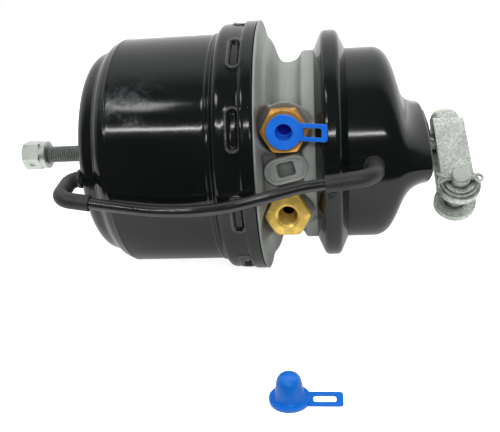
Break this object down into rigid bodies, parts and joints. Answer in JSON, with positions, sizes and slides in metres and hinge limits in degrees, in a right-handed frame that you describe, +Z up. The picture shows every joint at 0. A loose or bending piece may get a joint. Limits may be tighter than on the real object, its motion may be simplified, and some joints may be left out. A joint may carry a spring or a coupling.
{
  "type": "spring brake chamber",
  "caption": "Piston type spring brake chamber with side air ports, a clamped service diaphragm, a breather hose, a wound out release bolt, pushrod and clevis.",
  "frame": {"origin": "centre of the mounting face, midway between the two mounting holes", "axes": "+X along the chamber axis towards the pushrod, air ports face -Y, +Z up"},
  "size_m": [0.3681, 0.3198, 0.2],
  "materials": {
    "black_paint": "gloss black",
    "cast_aluminium": "as cast",
    "brass": "machined",
    "zinc": "zinc plated",
    "steel": "machined",
    "spring_steel": "satin",
    "rubber": "matt",
    "hose": "satin",
    "blue_plastic": "soft gloss",
    "pale_plastic": "matt",
    "guide_plastic": "matt"
  },
  "bodies": {
    "housing": {"spring_housing": "black_paint", "service_housing": "black_paint", "clamp_ring": "black_paint", "clamp_bolt": "zinc", "clamp_nut": "zinc", "flange_case": "cast_aluminium", "tube_guide_ring": "guide_plastic", "tube_seal": "rubber", "seal_retaining_ring": "steel", "housing_o_ring": "rubber", "service_port_adapter": "brass", "spring_port_adapter": "brass", "port_seal_washers": "steel", "release_thread_bush": "steel", "power_spring": "spring_steel", "service_diaphragm": "rubber", "return_spring": "spring_steel", "pushrod_boot": "rubber", "breather_elbow_spring": "hose", "breather_elbow_service": "hose", "breather_tube": "hose"},
    "spring_piston_body": {"spring_piston": "cast_aluminium", "piston_guide_ring": "guide_plastic", "piston_lip_seal": "rubber", "piston_tube": "steel", "pusher": "guide_plastic"},
    "thrust_body": {"thrust_washer": "steel"},
    "release_bolt_body": {"release_bolt": "zinc", "release_bolt_hex": "zinc", "release_bolt_pin": "zinc"},
    "pushrod_body": {"pushrod": "steel", "pressure_plate": "steel"},
    "clevis_body": {"clevis_yoke": "zinc", "clevis_thread_plug": "pale_plastic"},
    "clevis_pin_body": {"clevis_pin": "zinc", "clevis_washers": "zinc", "split_pin": "zinc"},
    "port_cap_body": {"port_cap": "blue_plastic"},
    "loose_cap_body": {"loose_port_cap": "blue_plastic"}
  },
  "joints": [
    {"name": "spring_piston_travel", "type": "slide", "parent": "housing", "child": "spring_piston_body", "axis": [1, 0, 0], "range_m": [0, 0.052], "deforming": ["power_spring"]},
    {"name": "release_bolt_feed", "type": "slide", "parent": "housing", "child": "thrust_body", "axis": [-1, 0, 0], "range_m": [-0.052, 0]},
    {"name": "release_bolt_turn", "type": "hinge", "parent": "thrust_body", "child": "release_bolt_body", "pos_m": [-0.255, 0, 0], "axis": [1, 0, 0], "range_deg": [-9360, 0]},
    {"name": "pushrod_stroke", "type": "slide", "parent": "spring_piston_body", "child": "pushrod_body", "axis": [1, 0, 0], "range_m": [0, 0.057], "deforming": ["return_spring", "service_diaphragm"]},
    {"name": "clevis_swing", "type": "hinge", "parent": "pushrod_body", "child": "clevis_body", "pos_m": [0.0223, 0, 0], "axis": [1, 0, 0], "range_deg": [-60, 60]},
    {"name": "clevis_pin_turn", "type": "hinge", "parent": "clevis_body", "child": "clevis_pin_body", "pos_m": [0.0223, -0.04477, -0.0302], "axis": [0, -0.5592, 0.829], "range_deg": [-90, 90]},
    {"name": "port_cap_pull", "type": "slide", "parent": "housing", "child": "port_cap_body", "axis": [0, -1, 0], "range_m": [0, 0.03]},
    {"name": "loose_cap_lift", "type": "slide", "parent": "housing", "child": "loose_cap_body", "axis": [0, 0, 1], "range_m": [0, 0.03]}
  ],
  "couplings": [
    {"joint": "release_bolt_turn", "follows": "release_bolt_feed", "rad_per_m": 3141.6},
    {"joint": "spring_piston_travel", "follows": "release_bolt_feed", "ratio": -1}
  ]
}
